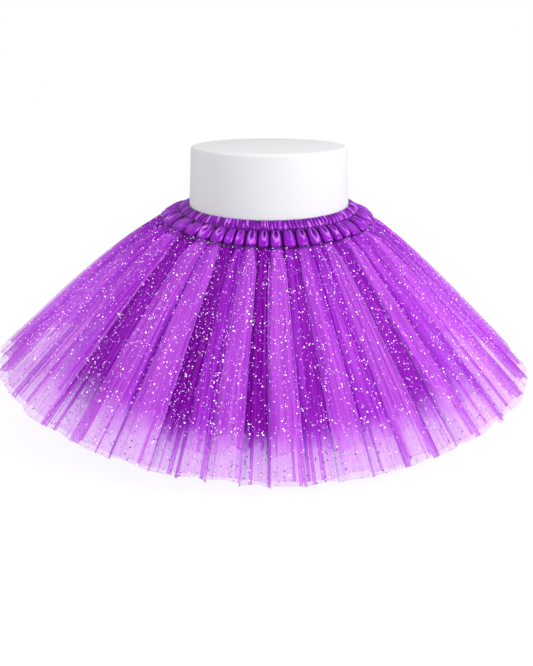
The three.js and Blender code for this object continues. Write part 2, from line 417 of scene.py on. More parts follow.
def sheet_mesh(name, points, uv, closed=True):
    """A mesh from rows and columns of points in millimetres, joined round if closed."""
    rows, columns = points.shape[:2]
    i, j = np.meshgrid(np.arange(rows - 1), np.arange(columns if closed else columns - 1),
                       indexing="ij")
    nxt = (j + 1) % columns
    faces = np.stack([i * columns + j, (i + 1) * columns + j, (i + 1) * columns + nxt,
                      i * columns + nxt], axis=-1).reshape(-1, 4)
    mesh = bpy.data.meshes.new(name)
    mesh.from_pydata((points.reshape(-1, 3) * MM).tolist(), [], faces.tolist())
    layer = mesh.uv_layers.new(name="cloth")
    wide = np.concatenate([uv, uv[:, :1] + [uv[0, -1, 0] - uv[0, 0, 0] + uv[0, 1, 0]
                                            - uv[0, 0, 0], 0]], axis=1)
    corners = np.stack([wide[i, j], wide[i + 1, j], wide[i + 1, j + 1], wide[i, j + 1]], axis=2)
    layer.data.foreach_set("uv", (corners.reshape(-1) * MM).astype(np.float32))
    mesh.polygons.foreach_set("use_smooth", np.ones(len(faces), dtype=bool))
    mesh.update()
    piece = bpy.data.objects.new(name, mesh)
    bpy.context.collection.objects.link(piece)
    return piece


def lengths_along(points, down):
    """Running width of the cloth along a row of points, less what the row runs down the cloth."""
    steps = np.linalg.norm(np.diff(points, axis=0), axis=1)
    across = np.sqrt(np.maximum(steps ** 2 - np.diff(down) ** 2, 0))
    return np.concatenate([[0], np.cumsum(across)])


# Layers from the outside in: how much shorter than the outer net each one is, its narrow folds
# and the share of them that are pleats, their height and overlap, its rows of points, how
# unevenly its hem is cut, and over what length it turns sheer at the hem and more at the sides
LAYERS = {
    "top": {
        "piece": "net_top", "slot": "glitter_net", "node": "tulle_top", "shorter": 0,
        "seed": 11, "folds": 200, "pleats": 0.5, "height": 2.2, "overlap": 2.2,
        "rows": 50, "cut_depth": 1.3, "fade": 60, "side_fade": 0,
        "flutes": 1.0, "lean": 1.0,
    },
    "second": {
        "piece": "net_second", "slot": "glitter_net", "node": "tulle_second", "shorter": 5,
        "seed": 23, "folds": 150, "pleats": 0.5, "height": 2.2, "overlap": 2.2,
        "rows": 46, "cut_depth": 1.3, "fade": 60, "side_fade": 0,
        "flutes": 0.7, "lean": 0.5,
    },
    "under": {
        "piece": "net_under", "slot": "plain_net", "node": "tulle_under", "shorter": 33,
        "seed": 37, "folds": 130, "pleats": 0.4, "height": 2.4, "overlap": 2.2,
        "rows": 36, "cut_depth": 5, "fade": 20, "side_fade": 24,
        "flutes": 0.25, "lean": 0.0,
    },
    "lining": {
        "piece": "lining_shell", "slot": "lining_purple", "node": "lining", "shorter": 43,
        "seed": 41, "folds": 90, "pleats": 0.1, "height": 1.6, "overlap": 1.4,
        "rows": 30, "cut_depth": 6, "fade": 16, "side_fade": 36,
        "flutes": 0.12, "lean": 0.0,
    },
}
ROWS_CLOSER_AT_TOP = 1.1
UNEVEN_CUT_FROM = 120
TAME_FROM = 30
TAME_TO = 44
LEAST_FOLD_AT_TOP = 0.25
SECOND_FOLLOWS_TOP = 0.3
SECOND_CLEAR = 0.4


def layer_depth(layer, down):
    """How far a layer's middle lies below the skirt's outline."""
    if layer == "second":
        follow = SECOND_FOLLOWS_TOP * row_value("top", down)
        return row_value("sink", down) + follow + NET_WALL + SECOND_CLEAR
    return layer_sink(layer, down)


class Layer:
    """One gathered layer of cloth: its points, its mesh and its cut size."""

    def __init__(self, layer, cloth):
        row = LAYERS[layer]
        length = SKIRT_LENGTH - row["shorter"]
        folds = FineFolds(row["seed"], row["folds"], row["pleats"], row["height"],
                          row["overlap"])
        share = np.linspace(0, 1, row["rows"]) ** ROWS_CLOSER_AT_TOP
        downs = NET_TOP + (length - NET_TOP) * share
        extra = folds.cut(row["cut_depth"])[None, :]
        down = downs[:, None] + extra * smooth_step(UNEVEN_CUT_FROM, length, downs)[:, None]
        azimuth = folds.base(down)
        aside, fine, crease = folds.offsets(down)
        radius, turn, height, along, tone, edge = flute_frame(azimuth, down, row["flutes"],
                                                              row["lean"])
        tame = smooth_step(TAME_FROM, TAME_TO, down)
        tame = LEAST_FOLD_AT_TOP + (1 - LEAST_FOLD_AT_TOP) * tame
        aside = aside * tame
        fine = fine * tame
        around_mm = radius * turn + aside * along[..., 0] - fine * along[..., 1]
        out = height + aside * along[..., 1] + fine * along[..., 0] - layer_depth(layer, down)
        self.points = on_skirt(around_mm / radius, down, out)
        self.downs = downs
        hem = lengths_along(self.points[-1], extra[0])
        self.cut_width = hem[-1] + np.linalg.norm(self.points[-1, 0] - self.points[-1, -1])
        self.cut_length = length - NET_TOP
        uv = np.stack(np.broadcast_arrays(hem[None, :], down), axis=-1)
        self.piece = sheet_mesh(row["piece"], self.points, uv)
        sides = np.cos(azimuth)
        start = length - row["fade"] - row["side_fade"] * sides ** 4
        near_hem = smooth_step(start, start + row["fade"], down)
        sheer = smooth_step(SHEER_COSINE_FROM, SHEER_COSINE_TO, np.abs(sides))
        sheer = SHEER_SIDES * sheer * smooth_step(SHEER_DOWN_FROM, SHEER_DOWN_TO, down)
        # Painted light: lighter at both sides, lighter on the right towards the key lamp, darker
        # on the left
        tone = tone + LIGHTER_SIDES * sides ** 2 + PAINTED_LIGHT_RIGHT * sides
        paint(self.piece, tone, crease, np.maximum(near_hem, sheer), edge)
        self.piece.data.materials.append(cloth)
        dress(self.piece, row["slot"], row["node"])


def paint(piece, tone, crease=0.0, hem=0.0, edge=0.0):
    """Stores four values for each point: tone (painted light and shade), crease, nearness to the
    hem and fold's edge (a painted highlight).
    """
    layer = piece.data.color_attributes.new(name="lie", type="FLOAT_COLOR", domain="POINT")
    values = np.stack(np.broadcast_arrays(tone, crease, hem, edge), axis=-1)
    layer.data.foreach_set("color", values.ravel().astype(np.float32))


# Materials

def material(name):
    made = bpy.data.materials.new(name)
    made.use_nodes = True
    return made, made.node_tree, made.node_tree.nodes["Principled BSDF"]


def node(tree, kind, **settings):
    made = tree.nodes.new(kind)
    for key, value in settings.items():
        setattr(made, key, value)
    return made


def math_node(tree, operation, *values):
    made = node(tree, "ShaderNodeMath", operation=operation)
    for socket, value in zip(made.inputs, values):
        if hasattr(value, "links"):
            tree.links.new(value, socket)
        else:
            socket.default_value = value
    return made.outputs[0]


def net_threads_group():
    """Mask of a fine six-sided net: 1 on a thread and 0 in a hole."""
    group = bpy.data.node_groups.new("net_threads", "ShaderNodeTree")
    interface = group.interface
    interface.new_socket("Place", in_out="INPUT", socket_type="NodeSocketVector")
    interface.new_socket("Cell", in_out="INPUT", socket_type="NodeSocketFloat")
    interface.new_socket("Thread", in_out="INPUT", socket_type="NodeSocketFloat")
    interface.new_socket("Mask", in_out="OUTPUT", socket_type="NodeSocketFloat")
    entry = group.nodes.new("NodeGroupInput")
    leave = group.nodes.new("NodeGroupOutput")
    parts = group.nodes.new("ShaderNodeSeparateXYZ")
    group.links.new(entry.outputs["Place"], parts.inputs[0])
    edge = math_node(group, "SUBTRACT", 1.0, entry.outputs["Thread"])
    mask = None
    for degrees in (0, 60, 120):
        angle = math.radians(degrees)
        across = math_node(group, "MULTIPLY", parts.outputs[0], math.cos(angle))
        along = math_node(group, "MULTIPLY", parts.outputs[1], math.sin(angle))
        place = math_node(group, "ADD", across, along)
        cells = math_node(group, "DIVIDE", place, entry.outputs["Cell"])
        inside = math_node(group, "FRACT", cells)
        centred = math_node(group, "ABSOLUTE", math_node(group, "SUBTRACT", inside, 0.5))
        line = group.nodes.new("ShaderNodeMapRange")
        line.interpolation_type = "SMOOTHSTEP"
        group.links.new(math_node(group, "MULTIPLY", centred, 2.0), line.inputs["Value"])
        group.links.new(edge, line.inputs["From Min"])
        line.inputs["From Max"].default_value = 1.0
        mask = line.outputs[0] if mask is None else math_node(group, "MAXIMUM", mask,
                                                              line.outputs[0])
    group.links.new(mask, leave.inputs["Mask"])
    return group


def cloud_group():
    """Slow change of tone over a surface, from 0 to 1, on its own coordinates."""
    group = bpy.data.node_groups.new("tone_cloud", "ShaderNodeTree")
    interface = group.interface
    interface.new_socket("Place", in_out="INPUT", socket_type="NodeSocketVector")
    interface.new_socket("Size", in_out="INPUT", socket_type="NodeSocketFloat")
    interface.new_socket("Tone", in_out="OUTPUT", socket_type="NodeSocketFloat")
    entry = group.nodes.new("NodeGroupInput")
    leave = group.nodes.new("NodeGroupOutput")
    noise = group.nodes.new("ShaderNodeTexNoise")
    noise.inputs["Detail"].default_value = 3
    group.links.new(entry.outputs["Place"], noise.inputs["Vector"])
    scale = math_node(group, "DIVIDE", 1.0, entry.outputs["Size"])
    group.links.new(scale, noise.inputs["Scale"])
    group.links.new(noise.outputs["Fac"], leave.inputs["Tone"])
    return group


NET_THREADS = net_threads_group()
TONE_CLOUD = cloud_group()


def grouped(tree, group, **values):
    made = tree.nodes.new("ShaderNodeGroup")
    made.node_tree = group
    for key, value in values.items():
        if hasattr(value, "links"):
            tree.links.new(value, made.inputs[key])
        else:
            made.inputs[key].default_value = value
    return made.outputs[0]


def two_tones(tree, factor, dark, light):
    """A mix of two colours, each given as three numbers or as a node's output."""
    mix = node(tree, "ShaderNodeMix", data_type="RGBA")
    tree.links.new(factor, mix.inputs[0])
    for socket, colour in ((mix.inputs[6], dark), (mix.inputs[7], light)):
        if isinstance(colour, tuple):
            socket.default_value = (*colour, 1)
        else:
            tree.links.new(colour, socket)
    return mix.outputs[2]


def tone_ramp(tree, factor, tones):
    """A colour from a table of tones, each with its place from dark to light."""
    made = node(tree, "ShaderNodeValToRGB")
    tree.links.new(factor, made.inputs[0])
    stops = made.color_ramp.elements
    while len(stops) < len(tones):
        stops.new(0.5)
    for stop, tone in zip(stops, tones):
        stop.position = tone["at"]
        stop.color = (*tone["colour"], 1)
    return made.outputs[0]


def ranged(tree, value, low, high, start=0, stop=1):
    made = node(tree, "ShaderNodeMapRange")
    tree.links.new(value, made.inputs["Value"])
    made.inputs["From Min"].default_value = start
    made.inputs["From Max"].default_value = stop
    made.inputs["To Min"].default_value = low
    made.inputs["To Max"].default_value = high
    return made.outputs[0]


def lie_values(tree):
    """The tone (painted light and shade), crease, hem and edge (painted highlight) values stored
    on a cloth's points.
    """
    stored = node(tree, "ShaderNodeAttribute", attribute_name="lie")
    parts = node(tree, "ShaderNodeSeparateColor")
    tree.links.new(stored.outputs["Color"], parts.inputs[0])
    return parts.outputs[0], parts.outputs[1], parts.outputs[2], stored.outputs["Alpha"]


def streaks(tree, uv, across, along):
    """Uneven density of gathered cloth: long thin streaks down it, sized in millimetres."""
    stretch = node(tree, "ShaderNodeMapping")
    stretch.inputs["Scale"].default_value = (1 / (across * MM), 1 / (along * MM), 1)
    tree.links.new(uv, stretch.inputs["Vector"])
    noise = node(tree, "ShaderNodeTexNoise")
    noise.inputs["Scale"].default_value = 1
    noise.inputs["Detail"].default_value = 4
    tree.links.new(stretch.outputs[0], noise.inputs["Vector"])
    return noise.outputs["Fac"]


def clamped(tree, value):
    made = node(tree, "ShaderNodeClamp")
    tree.links.new(value, made.inputs["Value"])
    return made.outputs[0]


# Net colour from the painted shade on the floor of a valley to the painted light on top of a
# flute, the painted highlight on its fold's lit edge, and its creases
NET_TONES = [
    {"at": 0, "colour": (0.12, 0, 0.25)},
    {"at": 0.35, "colour": (0.29, 0.003, 0.47)},
    {"at": 0.65, "colour": (0.47, 0.035, 0.78)},
    {"at": 1, "colour": (0.66, 0.12, 0.9)},
]
NET_PAINTED_EDGE_LIGHT = (0.8, 0.28, 0.94)
NET_CREASE = (0.36, 0.025, 0.52)

# The mesh's cell, its thread's share of it, and streaks of density: how wide and how long
NET_CELL = 1.2
NET_THREAD = 0.45
LINING_CELL = 0.5
LINING_THREAD = 0.6
FINE_STREAK = (3, 90)
BROAD_STREAK = (16, 300)
LINING_STREAK = (6, 120)

# How much each cause lightens the net: random streaks, the flutes' painted shade and light, and
# nearness to the hem, which lifts the painted valley shade there; and the share of light that
# each kind of net stops at the waist and at the hem
NET_SHADE = {"base": -0.65, "fine": 0.85, "broad": 0.7, "tone": 0.8, "hem": 0.6}
GLITTER_NET_COVER = (0.56, 0.28)
PLAIN_NET_COVER = (0.55, 0.2)


def net_material(name, cover):
    """Sheer net, with painted shade in the valleys between its flutes, painted light on their tops
    and edges and a faint painted glow, and denser where it folds over.
    """
    made, tree, shader = material(name)
    uv = node(tree, "ShaderNodeUVMap", uv_map="cloth").outputs[0]
    tone, crease, hem, edge = lie_values(tree)
    mask = grouped(tree, NET_THREADS, Place=uv, Cell=NET_CELL * MM, Thread=NET_THREAD)
    streak = streaks(tree, uv, *FINE_STREAK)
    broad = streaks(tree, uv, *BROAD_STREAK)
    shade = math_node(tree, "MULTIPLY_ADD", streak, NET_SHADE["fine"], NET_SHADE["base"])
    shade = math_node(tree, "MULTIPLY_ADD", broad, NET_SHADE["broad"], shade)
    shade = math_node(tree, "MULTIPLY_ADD", tone, NET_SHADE["tone"], shade)
    shade = clamped(tree, math_node(tree, "MULTIPLY_ADD", hem, NET_SHADE["hem"], shade))
    flat = tone_ramp(tree, shade, NET_TONES)
    # A painted highlight along a flute's leaning edge
    lit = two_tones(tree, math_node(tree, "MULTIPLY", edge, 0.5), flat, NET_PAINTED_EDGE_LIGHT)
    colour = two_tones(tree, math_node(tree, "MULTIPLY", crease, 0.55), lit, NET_CREASE)
    tree.links.new(colour, shader.inputs["Base Color"])
    # The net glows faintly in its own colour, more towards the hem: a painted glow
    tree.links.new(colour, shader.inputs["Emission Color"])
    tree.links.new(ranged(tree, hem, 0.05, 0.16), shader.inputs["Emission Strength"])
    body = ranged(tree, hem, cover[0], cover[1])
    woven = math_node(tree, "MULTIPLY", body, ranged(tree, mask, 0.55, 1.5))
    streaky = math_node(tree, "MULTIPLY", woven, ranged(tree, streak, 0.7, 1.3, 0.3, 0.7))
    folded = math_node(tree, "MULTIPLY_ADD", crease, 0.38, streaky)
    alpha = math_node(tree, "MULTIPLY_ADD", edge, 0.25, folded)
    tree.links.new(clamped(tree, alpha), shader.inputs["Alpha"])
    bump = node(tree, "ShaderNodeBump")
    bump.inputs["Distance"].default_value = 0.15 * MM
    bump.inputs["Strength"].default_value = 0.4
    tree.links.new(mask, bump.inputs["Height"])
    tree.links.new(bump.outputs[0], shader.inputs["Normal"])
    shader.inputs["Roughness"].default_value = 0.55
    shader.inputs["Specular IOR Level"].default_value = 0.05
    shader.inputs["Sheen Weight"].default_value = 0.04
    shader.inputs["Sheen Roughness"].default_value = 0.4
    shader.inputs["Sheen Tint"].default_value = (0.8, 0.2, 1.0, 1)
    return made


def lining_material():
    """Dense soft cloth that thins out towards its hem, with the painted shade of its folds and a
    painted glow that grows towards its hem.
    """
    made, tree, shader = material("lining_cloth")
    uv = node(tree, "ShaderNodeUVMap", uv_map="cloth").outputs[0]
    tone, _, hem, _ = lie_values(tree)
    streak = streaks(tree, uv, *LINING_STREAK)
    shade = clamped(tree, math_node(tree, "MULTIPLY_ADD", streak, 0.8,
                                    math_node(tree, "MULTIPLY_ADD", tone, 0.6, -0.35)))
    tree.links.new(two_tones(tree, shade, (0.14, 0.001, 0.33), (0.32, 0.012, 0.60)),
                   shader.inputs["Base Color"])
    weave = grouped(tree, NET_THREADS, Place=uv, Cell=LINING_CELL * MM, Thread=LINING_THREAD)
    alpha = math_node(tree, "MULTIPLY", ranged(tree, hem, 1.0, 0.06),
                      ranged(tree, weave, 0.92, 1.1))
    tree.links.new(clamped(tree, alpha), shader.inputs["Alpha"])
    bump = node(tree, "ShaderNodeBump")
    bump.inputs["Distance"].default_value = 0.05 * MM
    tree.links.new(weave, bump.inputs["Height"])
    tree.links.new(bump.outputs[0], shader.inputs["Normal"])
    shader.inputs["Roughness"].default_value = 0.5
    # A painted glow, growing towards the hem, lightens the lining there
    shader.inputs["Emission Color"].default_value = (0.62, 0.07, 0.85, 1)
    tree.links.new(ranged(tree, hem, 0.02, 0.4), shader.inputs["Emission Strength"])
    shader.inputs["Specular IOR Level"].default_value = 0.1
    shader.inputs["Sheen Weight"].default_value = 0.1
    shader.inputs["Sheen Tint"].default_value = (0.7, 0.3, 1.0, 1)
    return made


# Satin colour from the painted shade at the bottom of a gap to the painted highlight on top of a
# ridge
SATIN_TONES = [
    {"at": 0, "colour": (0.006, 0, 0.018)},
    {"at": 0.3, "colour": (0.09, 0, 0.2)},
    {"at": 0.6, "colour": (0.25, 0.004, 0.48)},
    {"at": 0.82, "colour": (0.36, 0.02, 0.66)},
    {"at": 1, "colour": (0.62, 0.2, 0.88)},
]


def satin_material():
    """Glossy satin: painted shade in its gaps, painted highlights on its ridges, with a fine
    weave.
    """
    made, tree, shader = material("satin")
    uv = node(tree, "ShaderNodeUVMap", uv_map="cloth").outputs[0]
    place = node(tree, "ShaderNodeTexCoord")
    tone = lie_values(tree)[0]
    cloud = grouped(tree, TONE_CLOUD, Place=place.outputs["Object"], Size=0.006)
    shade = clamped(tree, math_node(tree, "MULTIPLY_ADD", cloud, 0.3,
                                    math_node(tree, "SUBTRACT", tone, 0.15)))
    tree.links.new(tone_ramp(tree, shade, SATIN_TONES), shader.inputs["Base Color"])
    weave = node(tree, "ShaderNodeTexWave", wave_type="BANDS", bands_direction="X")
    weave.inputs["Scale"].default_value = 900
    weave.inputs["Distortion"].default_value = 1.5
    tree.links.new(uv, weave.inputs["Vector"])
    bump = node(tree, "ShaderNodeBump")
    bump.inputs["Distance"].default_value = 0.03 * MM
    bump.inputs["Strength"].default_value = 0.4
    tree.links.new(weave.outputs["Fac"], bump.inputs["Height"])
    tree.links.new(bump.outputs[0], shader.inputs["Normal"])
    tree.links.new(ranged(tree, cloud, 0.26, 0.36), shader.inputs["Roughness"])
    shader.inputs["Specular IOR Level"].default_value = 1.0
    shader.inputs["Specular Tint"].default_value = (0.85, 0.2, 1.0, 1)
    shader.inputs["Sheen Weight"].default_value = 0.03
    shader.inputs["Sheen Roughness"].default_value = 0.3
    shader.inputs["Sheen Tint"].default_value = (0.8, 0.4, 1.0, 1)
    return made


def glitter_material(name, colour, glow):
    made, tree, shader = material(name)
    place = node(tree, "ShaderNodeTexCoord")
    tone = grouped(tree, TONE_CLOUD, Place=place.outputs["Object"], Size=0.004)
    dim = tuple(c * 0.8 for c in colour)
    tree.links.new(two_tones(tree, tone, dim, colour), shader.inputs["Base Color"])
    shader.inputs["Metallic"].default_value = 0.35
    shader.inputs["Roughness"].default_value = 0.25
    # The dots glow in their own colour, a painted glint that keeps them bright in shade
    shader.inputs["Emission Color"].default_value = (*colour, 1)
    shader.inputs["Emission Strength"].default_value = glow
    return made


def thread_material():
    made, tree, shader = material("sewing_thread")
    place = node(tree, "ShaderNodeTexCoord")
    tone = grouped(tree, TONE_CLOUD, Place=place.outputs["Object"], Size=0.002)
    tree.links.new(two_tones(tree, tone, (0.26, 0.01, 0.46), (0.38, 0.04, 0.6)),
                   shader.inputs["Base Color"])
    shader.inputs["Roughness"].default_value = 0.5
    return made


def block_material():
    made, tree, shader = material("block_paint")
    place = node(tree, "ShaderNodeTexCoord")
    tone = grouped(tree, TONE_CLOUD, Place=place.outputs["Object"], Size=0.05)
    tree.links.new(two_tones(tree, tone, (0.84, 0.84, 0.86), (0.88, 0.88, 0.9)),
                   shader.inputs["Base Color"])
    tree.links.new(ranged(tree, tone, 0.42, 0.55), shader.inputs["Roughness"])
    grain = node(tree, "ShaderNodeTexNoise")
    grain.inputs["Scale"].default_value = 900
    tree.links.new(place.outputs["Object"], grain.inputs["Vector"])
    bump = node(tree, "ShaderNodeBump")
    bump.inputs["Distance"].default_value = 0.02 * MM
    tree.links.new(grain.outputs["Fac"], bump.inputs["Height"])
    tree.links.new(bump.outputs[0], shader.inputs["Normal"])
    return made


def floor_material():
    """White studio floor, lifted to plain white where it is seen, and pale for the light."""
    made, tree, shader = material("studio_floor")
    shader.inputs["Base Color"].default_value = (0.18, 0.18, 0.18, 1)
    shader.inputs["Roughness"].default_value = 0.9
    shader.inputs["Specular IOR Level"].default_value = 0.1
    shader.inputs["Emission Color"].default_value = (1, 1, 1, 1)
    seen = node(tree, "ShaderNodeLightPath")
    glow = ranged(tree, seen.outputs["Is Camera Ray"], FLOOR_GLOW_HIDDEN, FLOOR_GLOW_SEEN)
    tree.links.new(glow, shader.inputs["Emission Strength"])
    return made


def dress(piece, slot, *nodes):
    """A piece rides on the only body and stands for its nodes. Its slot is not used."""
    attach(piece, "root")
    if nodes:
        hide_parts(*nodes)


# Display block

def display_block():
    base = block_radius(0) * MM
    bpy.ops.object.select_all(action="DESELECT")
    bpy.ops.mesh.primitive_cone_add(vertices=BLOCK_SIDES, radius1=base,
                                    radius2=BLOCK_TOP_RADIUS * MM, depth=BLOCK_HEIGHT * MM,
                                    location=(0, 0, BLOCK_HEIGHT * MM / 2))
    piece = bpy.context.active_object
    piece.name = "block_shell"
    bpy.ops.object.transform_apply(location=True, rotation=True, scale=True)
    bevel = piece.modifiers.new("rims", "BEVEL")
    bevel.width = RIM_ROUND * MM
    bevel.segments = RIM_STEPS
    bevel.limit_method = "ANGLE"
    bevel.angle_limit = math.radians(RIM_ANGLE_DEGREES)
    bpy.ops.object.modifier_apply(modifier="rims")
    bpy.ops.object.shade_smooth_by_angle(angle=math.radians(SMOOTH_ANGLE_DEGREES))
    piece.data.materials.append(block_material())
    dress(piece, "block_white", "display_block")
    return piece


# Satin waistband

CASING_RIBS = 150
RIB_SAMPLES = 9
CASING_RADIUS = 90


def casing_ribs(rng):
    """Irregular ribs round the casing: widths, heights, slants and where they merge."""
    count = CASING_RIBS
    widths = rng.uniform(0.5, 1.5, count)
    widths *= 360 / widths.sum()
    return {
        "width": widths,
        "start": np.concatenate([[0], np.cumsum(widths)[:-1]]),
        "height": rng.uniform(0.7, 1.9, count),
        "slant": rng.normal(0, 0.55, count),
        "merge": rng.random(count),
    }


# Section of the casing from the inside's foot, over the fold and down the outside: distance
# down, distance out and how strongly the ribs show there
CASING_SECTION = [
    {"down": 10.1, "out": -CASING_WALL, "rib": 0},
    {"down": 6.5, "out": -CASING_WALL, "rib": 0},
    {"down": 2.5, "out": -CASING_WALL, "rib": 0},
    {"down": 0.4, "out": -CASING_WALL + 0.1, "rib": 0.02},
    {"down": -0.9, "out": -2.5, "rib": 0.1},
    {"down": -1.5, "out": -1.6, "rib": 0.3},
    {"down": -1.4, "out": -0.9, "rib": 0.55},
    {"down": -0.7, "out": -0.4, "rib": 0.8},
    {"down": 0.4, "out": -0.1, "rib": 0.95},
    {"down": 1.6, "out": 0.1, "rib": 1},
    {"down": 2.9, "out": 0.2, "rib": 1},
    {"down": 4.2, "out": 0.25, "rib": 1},
    {"down": 5.5, "out": 0.25, "rib": 1},
    {"down": 6.8, "out": 0.15, "rib": 1},
    {"down": 8.0, "out": 0, "rib": 1},
    {"down": 9.0, "out": -0.4, "rib": 0.9},
    {"down": 9.8, "out": -1.0, "rib": 0.7},
    {"down": 10.3, "out": -1.7, "rib": 0.4},
    {"down": 10.4, "out": -2.5, "rib": 0.15},
    {"down": 10.2, "out": -CASING_WALL, "rib": 0},
]
WIDEST_ROW = 12


def casing(rng, satin):
    ribs = casing_ribs(rng)
    index = np.repeat(np.arange(CASING_RIBS), RIB_SAMPLES)
    p = np.tile((np.arange(RIB_SAMPLES) + 0.5) / RIB_SAMPLES, CASING_RIBS)
    down, base, share = (np.array([row[key] for row in CASING_SECTION])[:, None]
                         for key in ("down", "out", "rib"))
    ridge = np.sin(np.pi * p) ** 0.75
    slant = ribs["slant"][index] * (1 - p) + np.roll(ribs["slant"], -1)[index] * p
    merge = ribs["merge"][index]
    early = np.where(merge < 0.3, smooth_step(1, 6, down), 1.0)
    late = np.where(merge > 0.7, 1 - smooth_step(4, 9, down), 1.0)
    height = ribs["height"][index] * (0.3 + 0.7 * early * late)
    out = base + share * (height * ridge - 0.7)
    degrees = ribs["start"][index] + ribs["width"][index] * p
    sway = 0.25 * np.sin(down / 4 + 3 * np.sin(np.radians(degrees) * 7))
    degrees = degrees + (slant * (down - 5) / 7 + sway) * share
    points = on_skirt(np.radians(degrees), down, out)
    around_mm = np.radians(degrees) * CASING_RADIUS
    run = np.concatenate([[0], np.cumsum(np.hypot(np.diff(down[:, 0]), np.diff(base[:, 0])))])
    uv = np.stack(np.broadcast_arrays(around_mm, run[:, None]), axis=-1)
    piece = sheet_mesh("satin_casing", points[::-1], uv[::-1])
    # Tone: each rib at a random brightness, with painted light on the rib tops and painted shade
    # in the grooves, where the casing turns in and towards its lower edge
    bright = rng.uniform(0.75, 1.25, CASING_RIBS)[index]
    tone = np.clip(bright * share ** 0.5 * (0.12 + height * ridge ** 1.4 / 1.6), 0, 0.95)
    tone = tone * smooth_step(-3.2, -0.8, base)
    tone = tone * (1 - 0.25 * smooth_step(9.2, 10.4, down))
    paint(piece, tone[::-1])
    flip_outward(piece)
    piece.data.materials.append(satin)
    dress(piece, "satin_purple", "waistband_casing")
    return piece, lengths_along(points[WIDEST_ROW], 0 * p)[-1], run[-1]


def flip_outward(piece):
    bpy.ops.object.select_all(action="DESELECT")
    piece.select_set(True)
    bpy.context.view_layer.objects.active = piece
    bpy.ops.object.mode_set(mode="EDIT")
    bpy.ops.mesh.select_all(action="SELECT")
    bpy.ops.mesh.normals_make_consistent(inside=False)
    bpy.ops.object.mode_set(mode="OBJECT")


def puff_lobe(rng, u, v):
    """Height and tone of one satin puff: a barrel with a stitched dimple, its rim and wrinkles.

    The tone is painted light and shade: darker in the gaps, the dimple and along the lower edge,
    lighter on the rim, near the top and on raised parts, with painted highlights and a gloss spot.
    """
    edge = np.clip(1 - np.abs(u) ** 3.6, 0, 1) ** 0.55
    rise = np.interp(v, [0, 0.1, 0.3, 0.6, 0.85, 0.95, 1.0], [1.6, 2.6, 3.8, 4.6, 4.4, 4.0, 3.0])
    place = rng.uniform(-0.25, 0.25)
    wide = rng.uniform(0.3, 0.5)
    long = rng.uniform(0.35, 0.68)
    strength = rng.choice([0.15, 0.55, 1, 1.1])
    depth = 1.5 * strength
    narrow = 0.55 + 0.45 * smooth_step(0, 0.45, v)
    distance = np.hypot((u - place * (1 - v)) / (wide * narrow), (v - 0.12) / long)
    hollow = 1 - smooth_step(0.3, 1.0, distance)
    rim = strength * np.exp(-((distance - 1.12) / 0.22) ** 2)
    height = (rise + 0.9 * rim - depth * hollow) * edge
    # Wrinkles, with painted light along those that rise and painted shade along those that sink
    painted_shine = 0.0
    for _ in range(5):
        at = rng.uniform(-0.8, 0.8)
        lean = rng.uniform(-0.5, 0.5)
        size = rng.uniform(-0.4, 0.55)
        stop = rng.uniform(0.3, 1.1)
        line = np.exp(-((u - at - lean * v) / 0.09) ** 2)
        line = size * line * (1 - smooth_step(stop - 0.3, stop, v)) * edge
        height = height + line
        painted_shine = painted_shine + 0.5 * line
    # A soft painted highlight spot on the lower part of the puff
    painted_gloss = rng.uniform(0.3, 0.9) * np.exp(-((v - rng.uniform(0.55, 0.75)) / 0.12) ** 2
                                           - ((u - rng.uniform(-0.3, 0.3)) / 0.3) ** 2)
    # Painted light and shade: lighter higher up and on the rim, darker in the dimple, lighter near
    # the top edge, and darker along the lower edge
    tone = smooth_step(0.2, 4.0, height) * 0.64 + 0.38 * rim * edge - 0.12 * strength * hollow
    tone = tone + 0.3 * (1 - smooth_step(0, 0.2, v)) * (1 - 0.6 * hollow) * edge
    tone = (tone + painted_shine + 0.35 * painted_gloss) * (1 - 0.3 * smooth_step(0.95, 1, v))
    return height, np.clip(np.maximum(tone, 0.36 * hollow * edge), 0, 1)


# How much of its place a puff fills at each share of its length
PUFF_FILL = {"at": [0, 0.15, 0.4, 0.65, 0.85, 1], "share": [0.8, 0.87, 0.97, 0.985, 0.94, 0.8]}
PUFF_FLOOR = -2.1
PUFF_COLUMNS = 28
PUFF_ROWS = 27
PUFF_RADIUS = 100

# Under a puff's lower edge and back up its plain inside: distance down and out
PUFF_TAIL = [
    {"down": BAND_LENGTH - 2.6, "out": -2.2},
    {"down": BAND_LENGTH - 3.2, "out": -PUFF_INSIDE},
    {"down": 24, "out": -PUFF_INSIDE},
    {"down": 18, "out": -PUFF_INSIDE},
    {"down": STITCH_DOWN + 0.2, "out": -PUFF_INSIDE},
]
# The puff's underside and inside take a middling tone on the satin's ramp of painted shade
TAIL_TONE = 0.45


